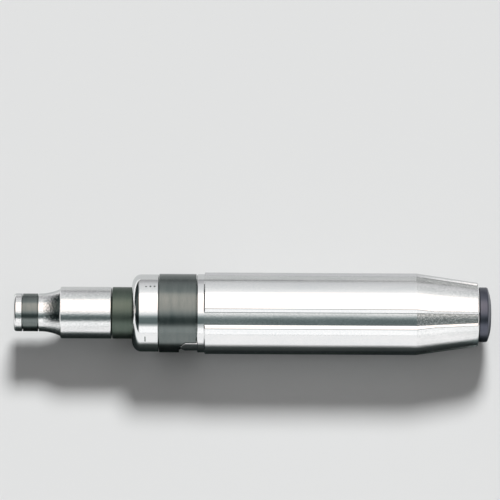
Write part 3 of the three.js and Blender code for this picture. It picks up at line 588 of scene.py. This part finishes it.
# Striking button with its stem
button = {"front": 88.5, "back": 93.2, "radius": 10.7, "flat": 3.5, "crown": 1.5,
          "crownSteps": 12, "edge": 0.5, "frontEdge": 0.3, "stem": 6.0, "stemFront": 36.5,
          "stemTip": 5.1, "stemTipLength": 0.9}
profile = [(button["stemFront"], 0), (button["stemFront"], button["stemTip"]),
           (button["stemFront"] + button["stemTipLength"], button["stem"]),
           (button["front"], button["stem"]), (button["front"], button["radius"])]
for i in range(button["crownSteps"] + 1):
    share = 1 - i / button["crownSteps"]
    profile.append((button["back"] - button["crown"] * share ** 2,
                    button["flat"] + (button["radius"] - button["flat"]) * share))
profile.append((button["back"], 0))
strikingButton = turnPiece(profile, closed=False)
roundOff(strikingButton, [(button["front"], button["radius"])], button["frontEdge"])
roundOff(strikingButton, [(button["back"] - button["crown"], button["radius"])],
         button["edge"], segments=4)
finishPiece(strikingButton, "strikingButton", "grip", ["striking_head"],
            oxideLooks["blueBlackOxide"])

# Nose sleeve: a rounded front, the rear journal inside the grip, the grooves for seal and ring,
# and the track of the detent ball
nose = {
    "front": -47.1, "back": -36.8, "radius": 15.1, "lip": 10.9, "roundLength": 3.5,
    "roundSteps": 14, "bore": 10.3, "boreEdge": 0.25, "edge": 0.15, "journal": 13.3,
    "journalBore": 11.4, "journalBack": -7.4, "shoulder": -34.1, "sealFront": -43.65,
    "sealBack": -41.75, "sealFloor": 12.0, "ringFront": -13.3, "ringBack": -11.5,
    "ringFloor": 12.4, "keyX": -28.9, "keyAngle": 60, "keyHole": 1.8, "keyFloor": 11.7,
    "keyTop": 14, "platedFrom": 14.5, "trackDepth": 0.4, "trackFrom": 240.4, "trackTo": 303.6,
    "notchDepth": 0.6, "notchSize": 1, "notchSides": 32, "notchAngles": (250, 294),
    "notchRadius": 11.95,
}
profile = [(nose["front"], nose["bore"])]
for i in range(nose["roundSteps"] + 1):
    turn = i / nose["roundSteps"] * math.pi / 2
    profile.append((nose["front"] + nose["roundLength"] * (1 - math.cos(turn)),
                    nose["lip"] + (nose["radius"] - nose["lip"]) * math.sin(turn)))
profile += [
    (nose["back"], nose["radius"]), (nose["back"], nose["journal"]),
    (nose["ringFront"], nose["journal"]), (nose["ringFront"], nose["ringFloor"]),
    (nose["ringBack"], nose["ringFloor"]), (nose["ringBack"], nose["journal"]),
    (nose["journalBack"], nose["journal"]), (nose["journalBack"], nose["journalBore"]),
    (nose["shoulder"], nose["journalBore"]), (nose["shoulder"], nose["bore"]),
    (nose["sealBack"], nose["bore"]), (nose["sealBack"], nose["sealFloor"]),
    (nose["sealFront"], nose["sealFloor"]), (nose["sealFront"], nose["bore"]),
]
noseSleeve = turnPiece(profile)
for point in noseSleeve.data.vertices:
    if (abs(point.co.x / mm - nose["journalBack"]) < closeTo
            and nose["trackFrom"] < angleOf(point.co) < nose["trackTo"]):
        point.co.x -= nose["trackDepth"] * mm
roundOff(noseSleeve, [(nose["back"], nose["radius"])], nose["edge"])
roundOff(noseSleeve, [(nose["front"], nose["bore"])], nose["boreEdge"])
for angle in nose["notchAngles"]:
    deselectAll()
    bpy.ops.mesh.primitive_cylinder_add(
        vertices=nose["notchSides"], radius=nose["notchSize"] * mm, depth=2 * overrun * mm,
        location=placeAt(nose["journalBack"] - nose["notchDepth"] + overrun,
                         nose["notchRadius"], angle),
        rotation=(0, math.pi / 2, 0),
    )
    cutAway(noseSleeve, bpy.context.object)
drillRadial(noseSleeve, nose["keyX"], nose["keyAngle"], nose["keyFloor"], nose["keyTop"],
            nose["keyHole"])
# Plain direction marks pressed into the nose: one stroke for one way, a short row for the other.
# Each is its place along the tool, its angle, its width along the tool and its length round it
marks = {
    "depth": 0.13, "front": -43, "back": -38,
    "places": [(-41.8, 160.6, 0.42, 2.6), (-41.5, 75.4, 0.7, 0.45), (-39.8, 75.0, 0.6, 0.75),
               (-38.2, 75.0, 0.6, 0.75)],
}
for x, angle, width, length in marks["places"]:
    deselectAll()
    bpy.ops.mesh.primitive_cube_add(
        size=mm, location=placeAt(x, nose["radius"] - marks["depth"] + overrun, angle),
        rotation=(math.radians(angle - 90), 0, 0), scale=(width, length, 2 * overrun),
    )
    cutAway(noseSleeve, bpy.context.object)
finishPiece(noseSleeve, "noseSleeve", "selector", ["nose_sleeve"],
            chromeLooks["polishedChrome"])
# the second look, a dark oxide, is partly the unplated journal and partly painted shade in the gap
# between nose and band
noseSleeve.data.materials.append(oxideLooks["satinBlackOxide"])
for face in noseSleeve.data.polygons:
    x, radius = face.center.x / mm, radiusOf(face.center)
    if x > nose["back"] - 5 * closeTo and radius < nose["platedFrom"]:
        face.material_index = 1  # the journal isn't plated; its dark oxide also paints shade into the gaps round the nose's back
    elif (marks["front"] < x < marks["back"]
          and nose["radius"] - 2 * marks["depth"] < radius < nose["radius"] - 2 * closeTo
          and facesOut(face)):
        face.material_index = 1  # the floors of the marks are dark

# Selector band with the notch in its rear edge
band = {"front": -36.5, "back": -22.0, "radius": 15.35, "bore": 13.5, "edge": 0.18,
        "notchTop": 166.5, "notchBottom": 241.3, "notchDepth": 6.8, "cornerLength": 2.5,
        "cornerAngle": 12.5, "cutterRadius": 18, "cutterPoints": 720, "cutterMargin": 0.26,
        "keyFloor": 13, "keyTop": 14.65, "cutterShrink": 0.6}
selectorBand = turnPiece([(band["front"], band["bore"]), (band["front"], band["radius"]),
                          (band["back"], band["radius"]), (band["back"], band["bore"])])
roundOff(selectorBand, [(band["front"], band["radius"]), (band["back"], band["radius"])],
         band["edge"])
middleAngle = (band["notchTop"] + band["notchBottom"]) / 2
halfAngle = (band["notchBottom"] - band["notchTop"]) / 2
notchCutter = addArc(band["cutterPoints"], band["cutterRadius"], band["back"] + overrun,
                     band["notchDepth"] + overrun, middleAngle,
                     halfAngle + band["cutterMargin"])
slantCorners(notchCutter, band["back"], middleAngle, halfAngle, band["cornerAngle"],
             band["cornerLength"])
makeActive(notchCutter)
bpy.ops.object.mode_set(mode="EDIT")
bpy.ops.mesh.select_all(action="SELECT")
bpy.ops.mesh.extrude_region_move(TRANSFORM_OT_translate={"value": (0, 0, 0)})
bpy.ops.transform.resize(value=(1, band["cutterShrink"], band["cutterShrink"]),
                         center_override=axisPoint)
bpy.ops.mesh.select_all(action="SELECT")
bpy.ops.mesh.normals_make_consistent(inside=False)
cutAway(selectorBand, notchCutter)
drillRadial(selectorBand, nose["keyX"], nose["keyAngle"], band["keyFloor"], band["keyTop"],
            nose["keyHole"])
finishPiece(selectorBand, "selectorBand", "selector", ["selector_band"],
            oxideLooks["satinBlackOxide"])

# Bit holder: nose with the band's groove, flare, body, hexagon in front and square behind
holder = {
    "front": -93.2, "back": -55.1, "radius": 10.1, "nose": 7.4, "grooveFloor": 6.5,
    "grooveStart": 3.0, "grooveWidth": 6.7, "noseLength": 10.2, "flareLength": 7.9,
    "flareRadius": 9.2, "flareSteps": 12, "forgedFrom": 1.5, "bodyEdge": 0.3, "frontEdge": 0.9,
    "rearEdge": 0.5, "hexFlats": 8.15, "hexDepth": 16, "hexMouth": 1.2, "hexMouthDepth": 0.6,
    "square": 9.8, "squareDepth": 12, "squareMouth": 0.5, "hole": 2.5, "ballX": -86.85,
    "ballHole": 1.5225, "ballSeat": 1.307, "ballSeatTop": 4.325, "ballFloor": 2, "ballTop": 8,
    "grooveSkin": 5, "rampWidth": 3,
    "ramp": [(-61.6, 3.4), (-61.6, 4.9), (-60.85, 5.3), (-60.1, 5.3), (-56.1, 4.9),
             (-56.1, 3.4)],
}
front, back = holder["front"], holder["back"]
grooveFront = front + holder["grooveStart"]
grooveBack = grooveFront + holder["grooveWidth"]
flareStart = front + holder["noseLength"]
flareEnd = flareStart + holder["flareLength"]
profile = [(front, holder["hole"]), (front, holder["nose"]), (grooveFront, holder["nose"]),
           (grooveFront, holder["grooveFloor"]), (grooveBack, holder["grooveFloor"]),
           (grooveBack, holder["nose"])]
for i in range(holder["flareSteps"] + 1):
    share = i / holder["flareSteps"]
    profile.append((flareStart + holder["flareLength"] * share,
                    holder["nose"] + (holder["flareRadius"] - holder["nose"]) * share ** 2))
profile += [(flareEnd, holder["radius"] - holder["bodyEdge"]),
            (flareEnd + holder["bodyEdge"], holder["radius"]), (back, holder["radius"]),
            (back, holder["hole"])]
bitHolder = turnPiece(profile)
roundOff(bitHolder, [(front, holder["nose"])], holder["frontEdge"], segments=5)
roundOff(bitHolder, [(back, holder["radius"])], holder["rearEdge"])
hexCorner = holder["hexFlats"] / 2 / math.cos(math.pi / 6)
squareCorner = holder["square"] / math.sqrt(2)
# each socket and its widened mouth: sides, corner radius at both ends, where it starts and ends
for sides, startCorner, endCorner, start, end in (
    (6, hexCorner, hexCorner, front - overrun, front + holder["hexDepth"]),
    (6, hexCorner + 2 * holder["hexMouth"], hexCorner, front - holder["hexMouthDepth"],
     front + holder["hexMouthDepth"]),
    (4, squareCorner, squareCorner, back - holder["squareDepth"], back + overrun),
    (4, squareCorner, squareCorner + 2 * holder["squareMouth"], back - holder["squareMouth"],
     back + holder["squareMouth"]),
):
    deselectAll()
    bpy.ops.mesh.primitive_cone_add(
        vertices=sides, radius1=startCorner * mm, radius2=endCorner * mm,
        depth=(end - start) * mm, location=((start + end) / 2 * mm, 0, axisHeight * mm),
        rotation=(0, math.pi / 2, 0),
    )
    if sides == 4:
        bpy.ops.object.transform_apply(location=True, rotation=True, scale=True)
        bpy.ops.object.mode_set(mode="EDIT")
        bpy.ops.mesh.select_all(action="SELECT")
        bpy.ops.transform.rotate(value=math.pi / 4, orient_axis="X", center_override=axisPoint)
        bpy.ops.object.mode_set(mode="OBJECT")
    cutAway(bitHolder, bpy.context.object)
# the ramp over the drive ball
deselectAll()
bpy.ops.mesh.primitive_circle_add(vertices=len(holder["ramp"]), radius=mm, fill_type="NGON",
                                  location=(0, 0, 0))
rampCutter = bpy.context.object
for point, (x, height) in zip(rampCutter.data.vertices, holder["ramp"]):
    point.co = (x * mm, -holder["rampWidth"] / 2 * mm, (axisHeight + height) * mm)
bpy.ops.object.mode_set(mode="EDIT")
bpy.ops.mesh.select_all(action="SELECT")
bpy.ops.mesh.extrude_region_move(
    TRANSFORM_OT_translate={"value": (0, holder["rampWidth"] * mm, 0)})
bpy.ops.mesh.select_all(action="SELECT")
bpy.ops.mesh.normals_make_consistent(inside=False)
cutAway(bitHolder, rampCutter)
drillRadial(bitHolder, holder["ballX"], 90, holder["ballFloor"], holder["ballTop"],
            holder["ballSeat"])
drillRadial(bitHolder, holder["ballX"], 90, holder["ballSeatTop"], holder["ballTop"],
            holder["ballHole"])
finishPiece(bitHolder, "bitHolder", "holder", ["bit_holder"],
            chromeLooks["tumbledChrome"])
bitHolder.data.materials.append(oxideLooks["satinBlackOxide"])
bitHolder.data.materials.append(chromeLooks["forgedChrome"])
for face in bitHolder.data.polygons:
    x, radius = face.center.x / mm, radiusOf(face.center)
    inGroove = grooveFront - 5 * closeTo < x < grooveBack + 5 * closeTo
    if inGroove and holder["grooveSkin"] < radius < holder["nose"] - 10 * closeTo:
        face.material_index = 1  # the band's groove is painted dark, as shade in the slits beside the spring band
    elif flareStart + holder["forgedFrom"] < x < flareEnd and radius > holder["nose"]:
        face.material_index = 2

# Spring band round the holder's nose, split underneath
clip = {"front": -89.75, "back": -83.95, "outer": 7.4, "inner": 6.6, "edge": 0.12, "slit": 1.2,
        "slitCutter": (8, 3), "slitAngle": 270, "steps": 120, "stillBelow": -3, "liftedAbove": 6}
springBand = turnPiece([(clip["front"], clip["inner"]), (clip["front"], clip["outer"]),
                        (clip["back"], clip["outer"]), (clip["back"], clip["inner"])],
                       clip["steps"])
roundOff(springBand, [(clip["front"], clip["outer"]), (clip["back"], clip["outer"])],
         clip["edge"], segments=2)
deselectAll()
length, depth = clip["slitCutter"]
bpy.ops.mesh.primitive_cube_add(
    size=1, location=placeAt(holder["ballX"], (clip["outer"] + clip["inner"]) / 2,
                             clip["slitAngle"]),
    scale=(length * mm, clip["slit"] * mm, depth * mm),
)
cutAway(springBand, bpy.context.object)
finishPiece(springBand, "springBand", None, ["bit_retaining_band"],
            oxideLooks["satinBlackOxide"])
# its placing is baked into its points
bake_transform(springBand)

# Spindle: square with its ball's hole, collar, flange and a crown of V teeth that the hammer's cam
# meets
drive = {
    "front": -66.0, "square": 9.5, "corner": 0.55, "chamfer": 0.8, "collarFront": -54.8,
    "collar": 10.1, "collarEdge": 0.3, "flangeFront": -32.3, "flangeBack": -28.7,
    "flange": 11.2, "pocket": 6.5, "pocketFloor": -32.8, "crown": 11.1, "crownLength": 6,
    "teeth": 8, "firstTooth": 22, "slope": 7 / 22, "tipCut": 0.5, "rootFill": 0.75,
    "ballX": -60.1, "ballHole": 1.6, "ballFloor": -2.65, "ballTop": 7, "squareSink": 0.5,
    "steps": 360,
}
crownFace = drive["flangeBack"] + drive["crownLength"]  # until its teeth are shaped
driveSpindle = turnPiece(
    [(drive["collarFront"], 0), (drive["collarFront"], drive["collar"]),
     (drive["flangeFront"], drive["collar"]), (drive["flangeFront"], drive["flange"]),
     (drive["flangeBack"], drive["flange"]), (drive["flangeBack"], drive["crown"]),
     (crownFace, drive["crown"]), (crownFace, drive["pocket"]),
     (drive["pocketFloor"], drive["pocket"]), (drive["pocketFloor"], 0)],
    drive["steps"], closed=False,
)
roundOff(driveSpindle, [(drive["collarFront"], drive["collar"])], drive["collarEdge"])
pitch = 360 / drive["teeth"]
fullRise = pitch / 2 * drive["slope"]
for point in driveSpindle.data.vertices:
    if abs(point.co.x / mm - crownFace) < closeTo:
        turned = angleOf(point.co) - drive["firstTooth"]
        fromTip = abs((turned + pitch / 2) % pitch - pitch / 2)
        rise = (pitch / 2 - fromTip) * drive["slope"]
        rise = min(max(rise, drive["rootFill"]), fullRise - drive["tipCut"])
        point.co.x = (drive["flangeBack"] + rise - drive["rootFill"]) * mm
makeActive(driveSpindle)
bpy.ops.object.mode_set(mode="EDIT")
bpy.ops.mesh.select_all(action="SELECT")
bpy.ops.mesh.remove_doubles(threshold=mergeDistance)
bpy.ops.object.mode_set(mode="OBJECT")
deselectAll()
length = drive["collarFront"] - drive["front"] + drive["squareSink"]
bpy.ops.mesh.primitive_cube_add(
    size=mm, location=((drive["front"] + length / 2) * mm, 0, axisHeight * mm),
    scale=(length, drive["square"], drive["square"]),
)
squareBar = bpy.context.object
bpy.ops.object.transform_apply(location=True, rotation=True, scale=True)


def runsAlong(edge):
    a, b = endsOf(squareBar, edge)
    return abs(a.x - b.x) > mm


selectWhere(squareBar, "EDGE", runsAlong)
bpy.ops.mesh.bevel(offset=drive["corner"] * mm, segments=4, affect="EDGES")
selectWhere(squareBar, "FACE", lambda face: face.normal.x < -0.9)
bpy.ops.mesh.bevel(offset=drive["chamfer"] * mm, segments=1, affect="EDGES")
cutAway(driveSpindle, squareBar, "UNION")
drillRadial(driveSpindle, drive["ballX"], 90, drive["ballFloor"], drive["ballTop"],
            drive["ballHole"])
finishPiece(driveSpindle, "driveSpindle", "drive_spindle", ["spindle"],
            oxideLooks["mattBlackOxide"])

# The other inner parts are copies of the imported solids with their round faces smooth. Each
# spring's joint, axis and fixed end are looked up, and it gets its own mesh
bodyOf = {node: body for body, names in record["behaviour"]["bodies"].items() for node in names}
springEnds = {}
for joint in record["behaviour"]["joints"]:
    for spring in joint.get("deforming_nodes", []):
        axis = 0 if spring["mode"] == "scale_x" else 2
        fixed = spring["fixed_end_x_m" if axis == 0 else "fixed_end_z_m"]
        springEnds[spring["node"]] = (joint, axis, fixed)
slotLooks = {"steel": groundSteel, "spring_steel": springWire, "nitrile": mouldedNitrile}
for entry in record["subparts"]:
    name, slotName = entry["node"], entry["material_slot"]
    if slotName not in slotLooks:
        continue
    first, *others = name.split("_")
    innerName = first + "".join(word.capitalize() for word in others)
    inner = bpy.data.objects.new(innerName, nodes[name].data.copy())
    scene.collection.objects.link(inner)
    makeActive(inner)
    bpy.ops.object.mode_set(mode="EDIT")
    bpy.ops.mesh.select_all(action="SELECT")
    bpy.ops.mesh.remove_doubles(threshold=mergeDistance)
    finishPiece(inner, innerName, bodyOf[name], [name], slotLooks[slotName],
                coilSmoothAngle if name in springEnds else smoothAngle)
    if name in springEnds:
        joint, axis, fixed = springEnds[name]
        low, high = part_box(name)
        length = max(abs(low[axis] - fixed), abs(high[axis] - fixed))
        end = [0, 0, 0]
        end[axis] = fixed
        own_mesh(inner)
        print(innerName, "shortens with", joint["name"])
print("inner parts finished")


# Light: a bright ceiling with a warm strip of lamps, a dark band of room behind the viewer and a
# bright horizon below it. The ceiling's stops are degrees from the horizon behind the tool over
# the top to the one in front. Along the tool, from -1 at the bit end to 1 at the struck end, the
# room is dark towards the bit end apart from its far wall, and dimmer towards the struck end
room = {
    "ceiling": [
        (0, (0.36, 0.36, 0.36, 1)), (10, (0.42, 0.42, 0.43, 1)), (20, (0.62, 0.62, 0.63, 1)),
        (42, (0.76, 0.77, 0.77, 1)), (54, (0.95, 0.95, 0.95, 1)), (61, (1.65, 1.5, 1.42, 1)),
        (76, (1.8, 1.6, 1.5, 1)), (106, (1.5, 1.37, 1.3, 1)), (117, (1.0, 1.0, 0.99, 1)),
        (123, (0.66, 0.69, 0.69, 1)), (128, (0.3, 0.35, 0.35, 1)), (134, (0.13, 0.165, 0.165, 1)),
        (149, (0.11, 0.14, 0.14, 1)), (155, (0.4, 0.43, 0.43, 1)), (161, (1.05, 1.05, 1.05, 1)),
        (180, (1.1, 1.1, 1.1, 1)),
    ],
    "alongTool": [
        (-1, (0.6, 0.6, 0.6, 1)), (-0.985, (0.5, 0.5, 0.5, 1)),
        (-0.955, (0.0375, 0.05, 0.05, 1)), (-0.46, (0.03375, 0.045, 0.045, 1)),
        (-0.26, (1, 1, 1, 1)), (0.5, (1, 1, 1, 1)), (0.75, (0.4, 0.4, 0.4, 1)),
        (1, (0.4, 0.4, 0.4, 1)),
    ],
    "sky": (0.2, 0.2, 0.2, 1), "wall": (0.755, 0.76, 0.76, 1),
}
world = bpy.data.worlds.new("studio")
scene.world = world
world.use_nodes = True
tree = world.node_tree
direction = addNode(tree, "TexCoord").outputs["Generated"]
parts = addNode(tree, "SeparateXYZ", {"Vector": direction})
turn = addNode(tree, "Math", {0: parts.outputs["Z"], 1: parts.outputs["Y"]},
               operation="ARCTAN2")
overTop = addNode(tree, "Math", {0: turn.outputs[0], 1: math.pi}, operation="DIVIDE")
ceiling = addNode(tree, "ValToRGB", {"Fac": overTop.outputs[0]},
                  stops=[(angle / 180, colour) for angle, colour in room["ceiling"]])
along = addNode(tree, "MapRange", {"Value": parts.outputs["X"], "From Min": -1, "From Max": 1})
ends = addNode(tree, "ValToRGB", {"Fac": along.outputs[0]},
               stops=[((x + 1) / 2, colour) for x, colour in room["alongTool"]])
walls = addNode(tree, "VectorMath", {0: ceiling.outputs[0], 1: ends.outputs[0]},
                operation="MULTIPLY")
path = addNode(tree, "LightPath")
# matt surfaces see an even, weaker sky instead
sky = addNode(tree, "Mix", {"Factor": path.outputs["Is Diffuse Ray"], 6: walls.outputs[0]},
              data_type="RGBA")
sky.inputs[7].default_value = room["sky"]
# and the camera sees a plain pale wall, in the floor's colour
wall = addNode(tree, "Mix", {"Factor": path.outputs["Is Camera Ray"], 6: sky.outputs[2]},
               data_type="RGBA")
wall.inputs[7].default_value = room["wall"]
tree.links.new(wall.outputs[2], tree.nodes["Background"].inputs["Color"])

# Floor: the camera and matt light see it plain and pale. Metal sees painted light and shade on it:
# a white zone in front of the tool, a painted shadow under it, as long as the tool, and a grey zone
# behind it. Each stop is a place on the floor in mm, from front to back, and a colour
ground = {
    "size": 6, "colour": "#e2e3e3", "roughness": 0.9, "pastEnds": "#fafafa", "reach": 50,
    "cards": [(-42, "#fafafa"), (-30, "#6f7978"), (-18, "#3c4646"), (6, "#3c4646"),
              (22, "#c8caca")],
    "matEnds": (100, 120),
}
deselectAll()
bpy.ops.mesh.primitive_plane_add(size=ground["size"], location=(0, 0, 0))
floor = bpy.context.object
floor.name = "floor"
floorLook, tree, shader = newLook("paleFloor")
shader.inputs["Roughness"].default_value = ground["roughness"]
reach = ground["reach"]
floorPlace = addNode(tree, "SeparateXYZ", {"Vector": addNode(tree, "TexCoord").outputs["Object"]})
frontToBack = addNode(tree, "MapRange", {"Value": floorPlace.outputs["Y"],
                                         "From Min": -reach * mm, "From Max": reach * mm})
cards = addNode(tree, "ValToRGB", {"Fac": frontToBack.outputs[0]},
                stops=[((y + reach) / (2 * reach), toLinear(code)) for y, code in ground["cards"]])
# past the tool's ends the painted shadow fades into the white zone
fromMiddle = addNode(tree, "Math", {0: floorPlace.outputs["X"]}, operation="ABSOLUTE")
shadowFadeStart, shadowFadeEnd = ground["matEnds"]
pastEnds = addNode(tree, "MapRange", {"Value": fromMiddle.outputs[0], "From Min": shadowFadeStart * mm,
                                      "From Max": shadowFadeEnd * mm})
seenInMetal = addNode(tree, "Mix", {"Factor": pastEnds.outputs[0], 6: cards.outputs[0]},
                      data_type="RGBA")
seenInMetal.inputs[7].default_value = toLinear(ground["pastEnds"])
floorPath = addNode(tree, "LightPath")
# only glossy rays see the painted shadow and zones; other rays see the plain pale colour
pale = addNode(tree, "Mix", {"Factor": floorPath.outputs["Is Glossy Ray"],
                             7: seenInMetal.outputs[2]}, data_type="RGBA")
pale.inputs[6].default_value = toLinear(ground["colour"])
tree.links.new(pale.outputs[2], shader.inputs["Base Color"])
floor.data.materials.append(floorLook)

# Soft, even light from behind the tool lays its shadow towards the viewer, a weaker one in front
# fills it. Elevation and spread are in degrees
lamps = {
    "backLamp": {"lean": 0.1, "side": 1, "elevation": 46, "energy": 3.35, "spread": 17},
    "frontLamp": {"lean": 0.1, "side": -1, "elevation": 62, "energy": 0.08, "spread": 34},
}
for name, lamp in lamps.items():
    softSun = bpy.data.lights.new(name, "SUN")
    softSun.angle = math.radians(lamp["spread"])
    softSun.energy = lamp["energy"]
    sun = bpy.data.objects.new(name, softSun)
    scene.collection.objects.link(sun)
    tilt = math.radians(lamp["elevation"])
    towards = Vector((lamp["lean"], lamp["side"] * math.cos(tilt), math.sin(tilt)))
    sun.rotation_euler = towards.to_track_quat("Z", "Y").to_euler()
    sun.visible_glossy = False
scene.view_settings.view_transform = "Standard"
print("light and floor placed")

bpy.context.view_layer.update()
